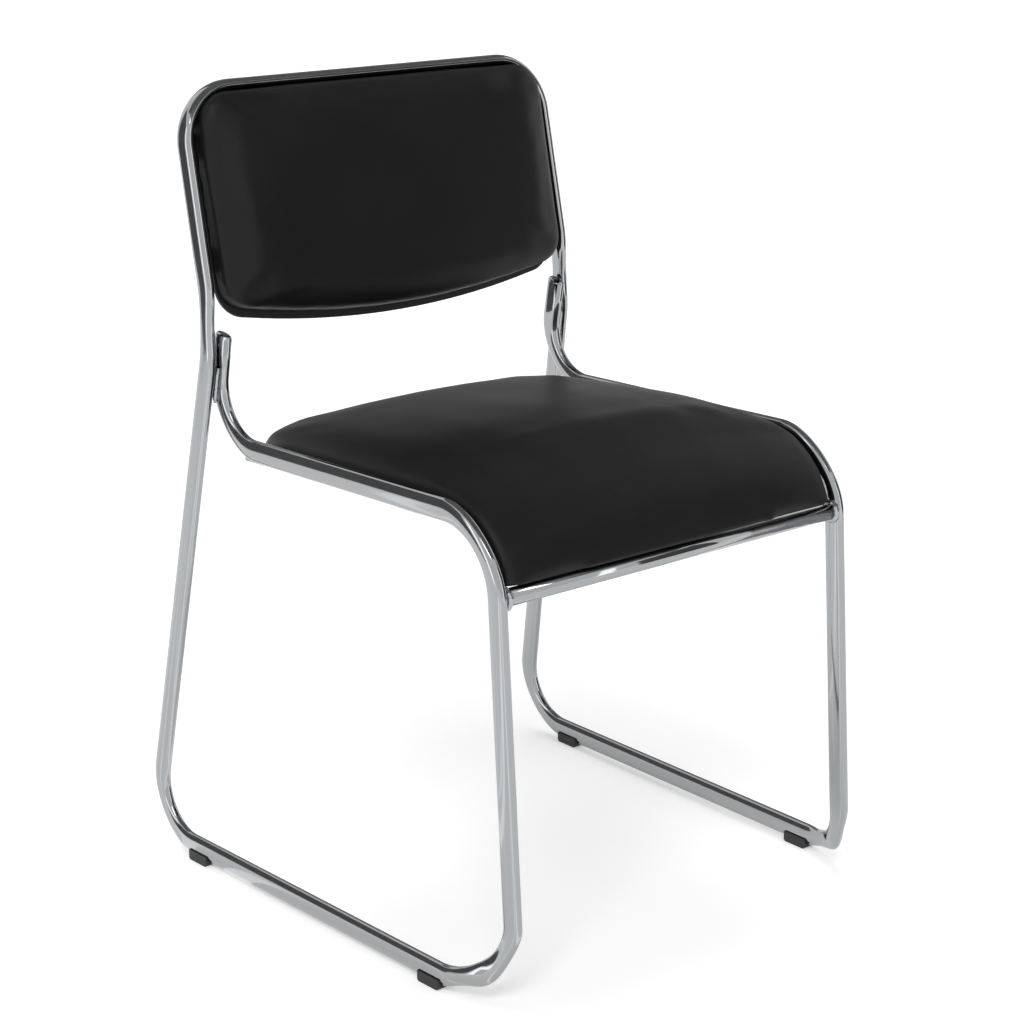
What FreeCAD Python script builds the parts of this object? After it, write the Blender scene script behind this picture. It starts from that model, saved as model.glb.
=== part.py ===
import FreeCAD, Part
import Sketcher
import os
from math import asin, atan, atan2, cos, degrees, hypot, pi, sin, sqrt, tan

# Sled base visitor chair: one bent oval tube carries an upholstered seat and back.
# Millimetres, +Z up, the front faces -Y, the origin lies on the floor under the middle.
# A side's points are written for the right side (+X) and mirrored for the left.

Vector = FreeCAD.Vector
doc = FreeCAD.newDocument("visitor_chair")
sheet = doc.addObject("Spreadsheet::Sheet", "sizes")

X_AXIS = Vector(1, 0, 0)
Y_AXIS = Vector(0, 1, 0)
Z_AXIS = Vector(0, 0, 1)

# Driving dimensions
SIZES = {
    # oval tube, long axis in the side plane
    "tube_depth": 22.0,
    "tube_breadth": 11.5,
    "tube_wall": 1.5,
    # corners of the tube's centre line
    "rail_x": 211.0,
    "end_top_y": 170.5, "end_top_z": 534.0,
    "rail_rear_y": 189.5, "rail_rear_z": 430.0,
    "knee_y": -227.5, "knee_z": 439.0,
    "toe_y": -254.5, "toe_z": 43.0,
    "runner_front_x": 238.5, "runner_front_y": -212.0,
    "runner_z": 14.5,
    "heel_x": 249.5, "heel_y": 264.1,
    "kink_x": 222.5, "kink_y": 173.0, "kink_z": 544.0,
    "crown_x": 220.5, "crown_y": 220.0, "crown_z": 764.5,
    # bend radii on the centre line
    "rail_rear_bend": 56.0,
    "knee_bend": 70.0,
    "toe_bend": 50.0,
    "runner_front_bend": 62.0,
    "heel_bend": 58.0,
    "kink_bend": 210.0,
    "crown_bend": 56.0,
    # how far a bend's outer wall is drawn in, as a share of the depth
    "bend_squash": 0.2,
    # front crossbar and seat straps
    "bar_radius": 8.0, "bar_wall": 1.5,
    "bar_y": -232.5, "bar_z": 372.5,
    "strap_width": 30.0, "strap_thick": 4.0,
    "strap_front_y": -105.0, "strap_rear_y": 130.0,
    "strap_drop": 9.2,
    "strap_screw_x": 120.0,
    # seat: the board's top face follows the rails a little above their centre line
    "seat_half": 203.0,
    "board_rise": 2.0,
    "board_thick": 9.0,
    "board_half": 199.0,
    "seat_rear_y": 166.0,
    "seat_rear_corner": 62.0,
    "seat_crown": 34.0,
    "seat_edge": 6.5,
    "seat_dome": 0.5,
    "seat_crest_back": 60.0,
    "seat_lip_z": 383.0,
    "seat_lip_depth": 9.0,
    "cover_thick": 1.0,
    "hem_width": 24.0,
    "dust_thick": 0.8,
    # back: measured in its own leaning frame from the kink
    "back_half": 211.0,
    "back_top": 215.0,
    "back_corner_bottom": 14.0,
    "back_sag": 21.0,
    "back_top_radius": 36.0,
    "back_bottom_radius": 30.0,
    "shell_lip": 5.0,
    "shell_thick": 3.0,
    "shell_rear": 5.0,
    "back_board_thick": 9.0,
    "back_board_inset": 6.0,
    "back_foam_thick": 23.0,
    # steel tabs that hold the back
    "tab_thick": 3.0, "tab_reach": 27.0, "tab_height": 24.0,
    "tab_low": 62.0, "tab_high": 170.0,
    "tab_screw_in": 17.0,
    # screws, washers and insert nuts
    "screw_radius": 3.0, "screw_head_radius": 5.7, "screw_head_high": 4.0,
    "screw_hole": 3.4, "washer_radius": 9.0, "washer_thick": 1.4,
    "nut_flange_radius": 9.5, "nut_flange_thick": 1.2, "nut_barrel_radius": 4.8,
    # glides under the runners
    "glide_length": 29.0, "glide_width": 14.0, "glide_side_high": 10.5,
    "glide_front_y": -175.0, "glide_rear_y": 183.0,
    "glide_pin_radius": 3.0, "glide_pin_high": 6.0,
    "glide_tip_bevel": 2.0,
    # plugs in the free tube ends
    "plug_dome": 4.6, "plug_spigot": 14.0,
    # welds
    "bead_radius": 2.6, "upright_bead_radius": 3.2,
    "upright_weld_low": 470.0, "upright_weld_high": 505.0, "upright_weld_apart": 6.5,
}
for row, (alias, value) in enumerate(SIZES.items(), start=1):
    sheet.set("A%d" % row, alias)
    sheet.set("B%d" % row, str(value))
    sheet.setAlias("B%d" % row, alias)
doc.recompute()


def size(alias):
    return float(sheet.get(alias))


def cell(alias):
    return "sizes." + alias


# Helpers for parametric bodies

def new_body(label):
    body = doc.addObject("PartDesign::Body", label)
    body.Label = label
    return body


def new_sketch(body, name, role="XY_Plane", offset=None):
    sketch = body.newObject("Sketcher::SketchObject", name)
    plane = [f for f in body.Origin.OriginFeatures if f.Role == role][0]
    sketch.AttachmentSupport = [(plane, "")]
    sketch.MapMode = "FlatFace"
    if offset is not None:
        sketch.AttachmentOffset = FreeCAD.Placement(Vector(0, 0, offset), FreeCAD.Rotation())
    doc.recompute()
    return sketch


def add_circle(sketch, radius_expression, x=0.0, y=0.0):
    index = sketch.addGeometry(Part.Circle(Vector(x, y, 0), Z_AXIS, 5.0), False)
    sketch.addConstraint(Sketcher.Constraint("DistanceX", -1, 1, index, 3, x))
    sketch.addConstraint(Sketcher.Constraint("DistanceY", -1, 1, index, 3, y))
    sketch.addConstraint(Sketcher.Constraint("Radius", index, 5.0))
    sketch.setExpression("Constraints[%d]" % (sketch.ConstraintCount - 1), radius_expression)
    return index


def add_rectangle(sketch, width_expression, height_expression):
    """a rectangle centred on the sketch's origin"""
    corners = [Vector(-1, -1, 0), Vector(1, -1, 0), Vector(1, 1, 0), Vector(-1, 1, 0)]
    for start, end in zip(corners, corners[1:] + corners[:1]):
        sketch.addGeometry(Part.LineSegment(start, end), False)
    for line in range(4):
        sketch.addConstraint(Sketcher.Constraint("Coincident", line, 2, (line + 1) % 4, 1))
    for line, kind in enumerate(("Horizontal", "Vertical", "Horizontal", "Vertical")):
        sketch.addConstraint(Sketcher.Constraint(kind, line))
    sketch.addConstraint(Sketcher.Constraint("Symmetric", 0, 1, 1, 2, -1, 1))
    sketch.addConstraint(Sketcher.Constraint("DistanceX", 0, 1, 0, 2, 2.0))
    sketch.setExpression("Constraints[%d]" % (sketch.ConstraintCount - 1), width_expression)
    sketch.addConstraint(Sketcher.Constraint("DistanceY", 1, 1, 1, 2, 2.0))
    sketch.setExpression("Constraints[%d]" % (sketch.ConstraintCount - 1), height_expression)


def pad(body, name, sketch, length_expression, midplane=False, backwards=False):
    feature = body.newObject("PartDesign::Pad", name)
    feature.Profile = sketch
    feature.Midplane = midplane
    feature.Reversed = backwards
    feature.setExpression("Length", length_expression)
    doc.recompute()
    return feature


def pocket_through(body, name, sketch):
    before = body.Shape.Volume
    feature = body.newObject("PartDesign::Pocket", name)
    feature.Profile = sketch
    feature.Type = "ThroughAll"
    feature.Midplane = True
    doc.recompute()
    assert body.Shape.Volume < before - 1e-6, name + " cut nothing"
    return feature


def solid_part(label, shape, placement=None):
    feature = doc.addObject("Part::Feature", label)
    feature.Label = label
    feature.Shape = shape
    if placement is not None:
        feature.Placement = placement
    return feature


SUB_PARTS = []


def keep(part):
    SUB_PARTS.append(part)
    return part


# The bent tube

def unit(vector):
    result = Vector(vector)
    result.normalize()
    return result


def bend_at(before, corner, after, radius):
    """the arc that rounds a corner: start, end, centre and turning axis, and its angle in radians"""
    inward = unit(before - corner)
    outward = unit(after - corner)
    half_angle = inward.getAngle(outward) / 2
    tangent = radius / tan(half_angle)
    centre = corner + unit(inward + outward) * (radius / sin(half_angle))
    axis = unit(outward.cross(inward))
    return corner + inward * tangent, corner + outward * tangent, centre, axis, pi - 2 * half_angle


def oval_points(centre, direction, shrink, squash):
    """where the four arcs of the tube's section join, and their middles; the long axis is square to X"""
    short_axis = unit(X_AXIS - direction * X_AXIS.dot(direction))
    long_axis = direction.cross(short_axis)
    half_long = size("tube_depth") / 2 * (1.0 - squash) - shrink
    half_short = size("tube_breadth") / 2 - shrink
    end_radius = half_short * END_ARC_SHARE
    reach = half_long - end_radius
    side_radius = (reach ** 2 + half_short ** 2 - end_radius ** 2) / (2 * (half_short - end_radius))
    stretch = side_radius / (side_radius - end_radius)
    join_long = reach * stretch
    join_short = (side_radius - half_short) * (stretch - 1.0)

    def place(along, across):
        return centre + long_axis * along + short_axis * across

    joins = [place(join_long, -join_short), place(join_long, join_short),
             place(-join_long, join_short), place(-join_long, -join_short)]
    tips = [place(half_long, 0), place(0, half_short), place(-half_long, 0), place(0, -half_short)]
    return joins, tips


def oval_wire(centre, direction, shrink=0.0, squash=0.0):
    joins, tips = oval_points(centre, direction, shrink, squash)
    arcs = [Part.Arc(joins[i], tips[i], joins[(i + 1) % 4]).toShape() for i in range(4)]
    return Part.Wire(arcs)


def bore_wire(centre, direction, shrink=0.0, squash=0.0):
    """the hidden bore: eight flats through the same points, a wall's thickness inside"""
    joins, tips = oval_points(centre, direction, size("tube_wall") + shrink, squash)
    corners = [point for pair in zip(joins, tips) for point in pair]
    return Part.makePolygon(corners + corners[:1])


def side_points(side):
    names = ("end_top", "rail_rear", "knee", "toe")
    points = [Vector(side * size("rail_x"), size(n + "_y"), size(n + "_z")) for n in names]
    points.append(Vector(side * size("runner_front_x"), size("runner_front_y"), size("runner_z")))
    points.append(Vector(side * size("heel_x"), size("heel_y"), size("runner_z")))
    names = ("kink", "crown")
    points += [Vector(side * size(n + "_x"), size(n + "_y"), size(n + "_z")) for n in names]
    return points


SIDE_BENDS = ["rail_rear_bend", "knee_bend", "toe_bend", "runner_front_bend", "heel_bend", "kink_bend"]
BEND_STEP = 14.0
# the radius of the oval's end arcs, as a share of its half breadth
END_ARC_SHARE = 0.7


def corner_tangent(side):
    """how far the top corner's arc starts below its point"""
    kink, crown = side_points(side)[-2:]
    upright = unit(crown - kink)
    turn = upright.getAngle(Vector(-side, 0, 0))
    return upright, turn, size("crown_bend") * tan(turn / 2)


def straight_run(start, end, section):
    return Part.Face(section(start, unit(end - start))).extrude(end - start)


def loft_bend(start, centre, axis, angle, section):
    """a bend as short straight bands; its outer wall is drawn in most at the middle"""
    steps = max(3, round(degrees(angle) / BEND_STEP))
    sections = []
    for step in range(steps + 1):
        turn = FreeCAD.Rotation(axis, degrees(angle) * step / steps)
        arm = turn.multVec(start - centre)
        squash = size("bend_squash") * sin(pi * step / steps)
        middle = centre + arm - unit(arm) * (squash * size("tube_depth") / 2)
        sections.append(section(middle, unit(axis.cross(arm)), 0.0, squash))
    return Part.makeLoft(sections, True, True)


def side_pieces(side, section):
    """one side of the frame, from the free end to the start of the top corner"""
    points = side_points(side)
    upright, turn, tangent = corner_tangent(side)
    points[-1] = points[-1] - upright * tangent
    pieces = []
    run_start = points[0]
    for index, name in enumerate(SIDE_BENDS, start=1):
        before, corner, after = points[index - 1:index + 2]
        start, end, centre, axis, angle = bend_at(before, corner, after, size(name))
        pieces.append(straight_run(run_start, start, section))
        pieces.append(loft_bend(start, centre, axis, angle, section))
        run_start = end
    pieces.append(straight_run(run_start, points[-1], section))
    return pieces


def corner_and_bar(side, section):
    """a top corner turned about its centre, and half of the top bar"""
    upright, turn, tangent = corner_tangent(side)
    crown = side_points(side)[-1]
    start = crown - upright * tangent
    inward = Vector(-side, 0, 0)
    square = unit(inward - upright * inward.dot(upright))
    centre = start + square * size("crown_bend")
    axis = unit(upright.cross(inward))
    face = Part.Face(section(start, upright))
    corner = face.revolve(centre, axis, degrees(turn))
    end = crown + inward * tangent
    face.rotate(centre, axis, degrees(turn))
    bar = face.extrude(Vector(-end.x, 0, 0))
    return [corner, bar]


def whole_tube(section):
    pieces = []
    for side in (-1, 1):
        pieces += side_pieces(side, section)
        pieces += corner_and_bar(side, section)
    return pieces[0].multiFuse(pieces[1:]).removeSplitter()


def runner_point(side, y):
    """a point of the runner's centre line, and its yaw in degrees"""
    front = Vector(size("runner_front_x"), size("runner_front_y"), 0)
    heel = Vector(size("heel_x"), size("heel_y"), 0)
    slope = (heel.x - front.x) / (heel.y - front.y)
    return Vector(side * (front.x + slope * (y - front.y)), y, 0), -side * degrees(atan(slope))


def glide_places():
    for side, side_name in ((-1, "left"), (1, "right")):
        for end in ("front", "rear"):
            point, yaw = runner_point(side, size("glide_%s_y" % end))
            yield "%s_%s_glide" % (end, side_name), point, yaw


def make_frame_tube():
    outer = whole_tube(oval_wire)
    tube = outer.cut(whole_tube(bore_wire))
    for label, point, yaw in glide_places():
        hole = Part.makeCylinder(size("glide_pin_radius"), size("glide_pin_high"), point)
        tube = tube.cut(hole)
    keep(solid_part("frame_tube", tube))
    return outer


TUBE_ENVELOPE = make_frame_tube()


# Crossbar and straps, cut to seat on the tube

def rail_height(y):
    """the rail's centre line at a given y"""
    rear_y, rear_z = size("rail_rear_y"), size("rail_rear_z")
    knee_y, knee_z = size("knee_y"), size("knee_z")
    return rear_z + (knee_z - rear_z) * (rear_y - y) / (rear_y - knee_y)


def make_front_crossbar():
    length = 2 * size("rail_x")
    outer = Part.makeCylinder(size("bar_radius"), length, Vector(-length / 2, 0, 0), X_AXIS)
    bore_radius = size("bar_radius") - size("bar_wall")
    inner = Part.makeCylinder(bore_radius, length, Vector(-length / 2, 0, 0), X_AXIS)
    bar = outer.cut(inner)
    bar.translate(Vector(0, size("bar_y"), size("bar_z")))
    coped = bar.cut(TUBE_ENVELOPE)
    middle = max(coped.Solids, key=lambda solid: solid.Volume)
    return keep(solid_part("front_crossbar", middle))


def make_strap(name):
    """a flat steel strap welded under the rails, with two screw holes"""
    y = size("strap_%s_y" % name)
    label = "%s_seat_strap" % name
    body = new_body(label + "_blank")
    profile = new_sketch(body, label + "_outline")
    add_rectangle(profile, "2 * %s - %s + 5" % (cell("rail_x"), cell("tube_breadth")), cell("strap_width"))
    pad(body, label + "_plate", profile, cell("strap_thick"), backwards=True)
    holes = new_sketch(body, label + "_holes")
    for side in (-1, 1):
        add_circle(holes, cell("screw_hole"), side * size("strap_screw_x"), 0.0)
    pocket_through(body, label + "_drilled", holes)
    slope = -degrees(atan((size("knee_z") - size("rail_rear_z")) / (size("rail_rear_y") - size("knee_y"))))
    body.Placement = FreeCAD.Placement(Vector(0, y, rail_height(y) - size("strap_drop")),
                                       FreeCAD.Rotation(X_AXIS, slope))
    doc.recompute()
    cut = doc.addObject("Part::Cut", label)
    cut.Label = label
    cut.Base = body
    cut.Tool = ENVELOPE_OBJECT
    doc.recompute()
    return keep(cut)


ENVELOPE_OBJECT = solid_part("tube_envelope", TUBE_ENVELOPE)
make_front_crossbar()
make_strap("front")
make_strap("rear")


# Weld beads

def make_bar_welds():
    """a fillet bead round each end of the front crossbar"""
    bar = Part.makeCylinder(size("bar_radius"), 2 * size("rail_x"),
                            Vector(-size("rail_x"), size("bar_y"), size("bar_z")), X_AXIS)
    foot = size("bead_radius")
    leg_inner = size("rail_x") - size("tube_breadth") / 2
    beads = []
    for side in (-1, 1):
        base = Vector(side * (leg_inner + 2.0), size("bar_y"), size("bar_z"))
        cone = Part.makeCone(size("bar_radius") + foot + 1.2, size("bar_radius") + 0.3, foot + 3.0,
                             base, X_AXIS * -side)
        beads.append(max(cone.cut(bar).cut(TUBE_ENVELOPE).Solids, key=lambda solid: solid.Volume))
    return keep(solid_part("crossbar_welds", Part.makeCompound(beads)))


def point_on(start, end, z):
    return start + (end - start) * ((z - start.z) / (end.z - start.z))


def make_end_welds():
    """beads that join each free end to the rear leg beside it, before and behind"""
    beads = []
    for side in (-1, 1):
        points = side_points(side)
        for offset in (-size("upright_weld_apart"), size("upright_weld_apart")):
            row = []
            for z in (size("upright_weld_low"), size("upright_weld_high")):
                end_line = point_on(points[0], points[1], z)
                leg_line = point_on(points[6], points[5], z)
                middle = (end_line + leg_line) * 0.5
                row.append(middle + Y_AXIS * offset)
            run = row[1] - row[0]
            bead = Part.makeCylinder(size("upright_bead_radius"), run.Length, row[0], run)
            bead = bead.cut(TUBE_ENVELOPE)
            beads.append(max(bead.Solids, key=lambda solid: solid.Volume))
    return keep(solid_part("upright_welds", Part.makeCompound(beads)))


make_bar_welds()
make_end_welds()


# Plugs in the free tube ends

# the dome: share of its height, and how far the oval has drawn in there
PLUG_DOME = ((0.0, 0.0), (0.45, 0.3), (0.85, 1.8), (1.0, 4.2))


def end_plug(side):
    """a domed oval cap with a spigot inside the tube"""
    points = side_points(side)
    direction = unit(points[0] - points[1])
    start = points[0]
    rings = [oval_wire(start + direction * (size("plug_dome") * rise), direction, shrink)
             for rise, shrink in PLUG_DOME]
    head = Part.makeLoft(rings, True, True)
    spigot = Part.Face(bore_wire(start, direction, 0.15))
    spigot = spigot.extrude(direction * -size("plug_spigot"))
    return head.fuse(spigot)


keep(solid_part("end_plugs", Part.makeCompound([end_plug(side) for side in (-1, 1)])))


# Glides: a saddle block under the runner with a pin through its wall

def saddle_arc(edge):
    """an edge of the upright oval, laid into the sketch's own plane"""
    ends = [edge.valueAt(edge.FirstParameter), edge.valueAt((edge.FirstParameter + edge.LastParameter) / 2),
            edge.valueAt(edge.LastParameter)]
    return Part.Arc(*[Vector(point.x, point.z, 0) for point in ends])


def make_glide(label, point, yaw):
    body = new_body(label)
    outline = new_sketch(body, label + "_outline")
    add_rectangle(outline, cell("glide_width"), cell("glide_length"))
    pad(body, label + "_block", outline, cell("glide_side_high"))
    saddle = new_sketch(body, label + "_saddle", "XZ_Plane")
    for arc in oval_wire(Vector(0, 0, size("runner_z")), Y_AXIS, -0.02).Edges:
        saddle.addGeometry(saddle_arc(arc), False)
    for index in range(4):
        saddle.addConstraint(Sketcher.Constraint("Coincident", index, 2, (index + 1) % 4, 1))
    pocket_through(body, label + "_saddle_cut", saddle)
    pin_base = size("runner_z") - size("tube_depth") / 2 - 1.0
    pin = new_sketch(body, label + "_pin_round", "XY_Plane", pin_base)
    add_circle(pin, cell("glide_pin_radius") + " - 0.1")
    pinned = pad(body, label + "_pin", pin, "%s - %s" % (cell("glide_pin_high"), "1.2"))
    bottom = [("Edge%d" % (index + 1)) for index, edge in enumerate(body.Shape.Edges)
              if abs(edge.CenterOfMass.z) < 0.01 and abs(edge.CenterOfMass.x) < 0.01]
    tips = body.newObject("PartDesign::Chamfer", label + "_tips")
    tips.Base = (pinned, bottom)
    tips.setExpression("Size", cell("glide_tip_bevel"))
    doc.recompute()
    body.Placement = FreeCAD.Placement(point, FreeCAD.Rotation(Z_AXIS, yaw))
    return keep(body)


for glide_label, glide_point, glide_yaw in glide_places():
    make_glide(glide_label, glide_point, glide_yaw)


# Seat: sections across the width follow the rails and fall over the front

def side_curve(offset, rear_y, lip_z):
    """key points of a line that runs along the rails and round the knee, offset from the board's top:
    its rear end, the start, middle and end of the arc"""
    start, middle, end, centre = knee_arc()
    radius = size("knee_bend") + size("board_rise") + offset
    square = unit(start - centre)
    along = Vector(0, -square.z, square.y)
    arc_start = centre + square * radius
    rear = arc_start - along * ((rear_y - arc_start.y) / -along.y)
    start_angle = atan2(square.z, -square.y)
    end_angle = asin((lip_z - centre.z) / radius)
    middle_angle = (start_angle + end_angle) / 2
    points = [centre + Vector(0, -cos(angle), sin(angle)) * radius for angle in (middle_angle, end_angle)]
    return [rear, arc_start] + points


def knee_arc():
    """the tube's knee bend in the middle plane: start, middle, end and centre of its arc"""
    corner = Vector(0, size("knee_y"), size("knee_z"))
    to_rear = unit(Vector(0, size("rail_rear_y"), size("rail_rear_z")) - corner)
    to_toe = unit(Vector(0, size("toe_y"), size("toe_z")) - corner)
    half_angle = to_rear.getAngle(to_toe) / 2
    tangent = size("knee_bend") / tan(half_angle)
    centre = corner + unit(to_rear + to_toe) * (size("knee_bend") / sin(half_angle))
    middle = centre - unit(to_rear + to_toe) * size("knee_bend")
    return corner + to_rear * tangent, middle, corner + to_toe * tangent, centre


def at_x(point, x):
    return Vector(x, point.y, point.z)


def slab(half_width, low, high, rear_y, lip_z, corner):
    """a bent sheet between two offsets of the side line, with rounded rear corners"""
    outer = side_curve(high, rear_y, lip_z)
    inner = side_curve(low, rear_y, lip_z)
    edges = [
        Part.LineSegment(outer[0], outer[1]).toShape(),
        Part.Arc(outer[1], outer[2], outer[3]).toShape(),
        Part.LineSegment(outer[3], inner[3]).toShape(),
        Part.Arc(inner[3], inner[2], inner[1]).toShape(),
        Part.LineSegment(inner[1], inner[0]).toShape(),
        Part.LineSegment(inner[0], outer[0]).toShape(),
    ]
    face = Part.Face(Part.Wire(edges))
    sheet_solid = face.extrude(Vector(2 * half_width, 0, 0))
    sheet_solid.translate(Vector(-half_width, 0, 0))
    return sheet_solid.common(rear_rounded_plan(half_width, rear_y, corner))


def rear_rounded_plan(half_width, rear_y, corner):
    """an upright block with the seat's plan: square at the front, rounded at the rear"""
    front_y = size("toe_y") - 50.0
    diagonal = corner * (1.0 - sqrt(0.5))
    left, right = -half_width, half_width
    edges = [
        Part.LineSegment(Vector(left, front_y, 0), Vector(right, front_y, 0)).toShape(),
        Part.LineSegment(Vector(right, front_y, 0), Vector(right, rear_y - corner, 0)).toShape(),
        Part.Arc(Vector(right, rear_y - corner, 0), Vector(right - diagonal, rear_y - diagonal, 0),
                 Vector(right - corner, rear_y, 0)).toShape(),
        Part.LineSegment(Vector(right - corner, rear_y, 0), Vector(left + corner, rear_y, 0)).toShape(),
        Part.Arc(Vector(left + corner, rear_y, 0), Vector(left + diagonal, rear_y - diagonal, 0),
                 Vector(left, rear_y - corner, 0)).toShape(),
        Part.LineSegment(Vector(left, rear_y - corner, 0), Vector(left, front_y, 0)).toShape(),
    ]
    return Part.Face(Part.Wire(edges)).extrude(Vector(0, 0, size("crown_z")))


def seat_section(x, out, under):
    """a closed outline at x: out grows the top, under is the depth below the board's top"""
    half = size("seat_half")
    share = min(1.0, abs(x) / half)
    swell = (1.0 - (SEAT_SIDE * share) ** SEAT_POWER) ** (1.0 / SEAT_POWER)
    crown = size("seat_edge") + (size("seat_crown") - size("seat_edge")) * swell
    lip_deep = size("seat_lip_depth") * (0.4 + 0.6 * swell) + out
    corner = size("seat_rear_corner")
    into = max(0.0, abs(x) - (size("seat_half") - corner))
    rear_y = size("seat_rear_y") - (corner - sqrt(max(0.0, corner ** 2 - into ** 2))) * SEAT_CORNER_SHARE
    lip_z = size("seat_lip_z") - out
    low = side_curve(-under, rear_y + out, lip_z)
    lip = side_curve(lip_deep, rear_y, lip_z)[3]
    fall = side_curve(crown * SEAT_FALL + out, rear_y, lip_z)[2]
    crest_front = side_curve(crown + out, rear_y, lip_z)[1] + Y_AXIS * size("seat_crest_back")
    rear_radius = crown * SEAT_REAR_SHARE
    crest_rear = side_curve(rear_radius + out, rear_y - rear_radius, lip_z)[0]
    crest = (crest_front + crest_rear) * 0.5 + Z_AXIS * (size("seat_dome") * swell)
    rear_bulge = side_curve(rear_radius * sqrt(0.5), rear_y + out - rear_radius * (1.0 - sqrt(0.5)), lip_z)[0]
    curves = [
        (low[0], low[1]),
        (low[1], low[2], low[3]),
        (low[3], lip),
        (lip, fall, crest_front),
        (crest_front, crest, crest_rear),
        (crest_rear, rear_bulge, low[0]),
    ]
    edges = []
    for ends in curves:
        ends = [at_x(point, x) for point in ends]
        curve = Part.LineSegment(*ends) if len(ends) == 2 else Part.Arc(*ends)
        edges.append(curve.toShape())
    return Part.Wire(edges)


# how square the crown is across the width, and how far the sides are drawn in
SEAT_POWER = 2.0
SEAT_SIDE = 0.985
SEAT_CORNER_SHARE = 0.9
SEAT_FALL = 0.4
SEAT_REAR_SHARE = 0.55
SEAT_STATIONS = (0.0, 0.42, 0.72, 0.9, 1.0)


def seat_loft(out, under, side_out):
    half = size("seat_half") + side_out
    stations = sorted({s * half for s in SEAT_STATIONS} | {-s * half for s in SEAT_STATIONS})
    return Part.makeLoft([seat_section(x, out, under) for x in stations], True, True)


def make_seat():
    thick = size("cover_thick")
    depth = size("board_thick")
    foam = seat_loft(0.0, 0.0, 0.0)
    stuffed = seat_loft(0.0, depth, 0.0)
    skin = seat_loft(thick, depth + thick, thick)
    window = slab(size("board_half") - size("hem_width"), -depth - 4 * thick, -depth + 0.5,
                  size("seat_rear_y") - size("hem_width"), size("seat_lip_z") + size("hem_width"), 40.0)
    cover = skin.cut(stuffed).cut(window)
    keep(solid_part("seat_foam", foam))
    keep(solid_part("seat_cover", cover))
    board = slab(size("board_half"), -depth, -0.02, size("seat_rear_y") - 8, size("seat_lip_z") + 1.5,
                 size("seat_rear_corner"))
    board = board.common(stuffed)
    for place in seat_screw_places():
        board = board.cut(nut_solid(place, NUT_SLACK))
    keep(solid_part("seat_board", board))
    dust = slab(size("board_half") - 12, -depth - thick - size("dust_thick") - 0.1, -depth - thick - 0.1,
                size("seat_rear_y") - 20, size("seat_lip_z") + 14, 45.0)
    for place in seat_screw_places():
        hole = Part.makeCylinder(size("washer_radius") + 1, 12, Vector(0, 0, -16))
        hole.Placement = place
        dust = dust.cut(hole)
    keep(solid_part("seat_underside_cover", dust))


def seat_screw_places():
    """where each seat screw enters: origin on the board's top face, Z square to it"""
    slope = -degrees(atan((size("knee_z") - size("rail_rear_z")) / (size("rail_rear_y") - size("knee_y"))))
    for end in ("front", "rear"):
        y = size("strap_%s_y" % end)
        for side in (-1, 1):
            base = Vector(side * size("strap_screw_x"), y, rail_height(y) + size("board_rise"))
            yield FreeCAD.Placement(base, FreeCAD.Rotation(X_AXIS, slope))


# Fasteners: each stands in a frame with Z along the screw and z = 0 on the board's padded face

def hexagon(radius, low, high):
    corners = [Vector(radius * cos(k * pi / 3), radius * sin(k * pi / 3), low) for k in range(7)]
    return Part.Face(Part.makePolygon(corners)).extrude(Z_AXIS * (high - low))


# how much shorter than the board a nut is, and how far its pocket runs past
NUT_SHORT = 0.4
# slack round a nut in its pocket
NUT_SLACK = 0.05
# how far short of the padding a screw ends
SCREW_STOP = -2.0


def nut_solid(place, grow=0.0):
    """a hexagon insert nut, or with grow the pocket it sits in"""
    depth = size("board_thick") + (NUT_SHORT if grow else -NUT_SHORT)
    flange = hexagon(size("nut_flange_radius") + grow, -size("nut_flange_thick") - grow, 0.0)
    barrel = hexagon(size("nut_barrel_radius") + grow, -depth, 0.0)
    solid = flange.fuse(barrel).removeSplitter()
    if grow == 0.0:
        solid = solid.cut(Part.makeCylinder(size("screw_radius"), 2 * depth, Vector(0, 0, -1.5 * depth)))
    solid.Placement = place
    return solid


def screw_solid(place, seat_z, tip_z):
    """a hexagon head screw whose head bears at seat_z and whose shank ends at tip_z"""
    shank = Part.makeCylinder(size("screw_radius") - 0.05, tip_z - seat_z, Vector(0, 0, seat_z))
    solid = shank.fuse(hexagon(size("screw_head_radius"), seat_z - size("screw_head_high"), seat_z))
    solid.Placement = place
    return solid


def washer_solid(place, top_z):
    base = Vector(0, 0, top_z - size("washer_thick"))
    ring = Part.makeCylinder(size("washer_radius"), size("washer_thick"), base)
    ring = ring.cut(Part.makeCylinder(size("screw_hole"), size("washer_thick"), base))
    ring.Placement = place
    return ring


def make_seat_fasteners():
    places = list(seat_screw_places())
    strap_bottom = -size("board_rise") - size("strap_drop") - size("strap_thick")
    keep(solid_part("seat_nuts", Part.makeCompound([nut_solid(place) for place in places])))
    washers = [washer_solid(place, strap_bottom - 0.02) for place in places]
    keep(solid_part("seat_washers", Part.makeCompound(washers)))
    seat_z = strap_bottom - size("washer_thick") - 0.04
    screws = [screw_solid(place, seat_z, SCREW_STOP) for place in places]
    keep(solid_part("seat_screws", Part.makeCompound(screws)))


make_seat()
make_seat_fasteners()


# Back: built upright in its own frame, then leaned back about the kink

def back_placement():
    lean = degrees(atan((size("crown_y") - size("kink_y")) / (size("crown_z") - size("kink_z"))))
    return FreeCAD.Placement(Vector(0, size("kink_y"), size("kink_z")), FreeCAD.Rotation(X_AXIS, -lean))


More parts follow.
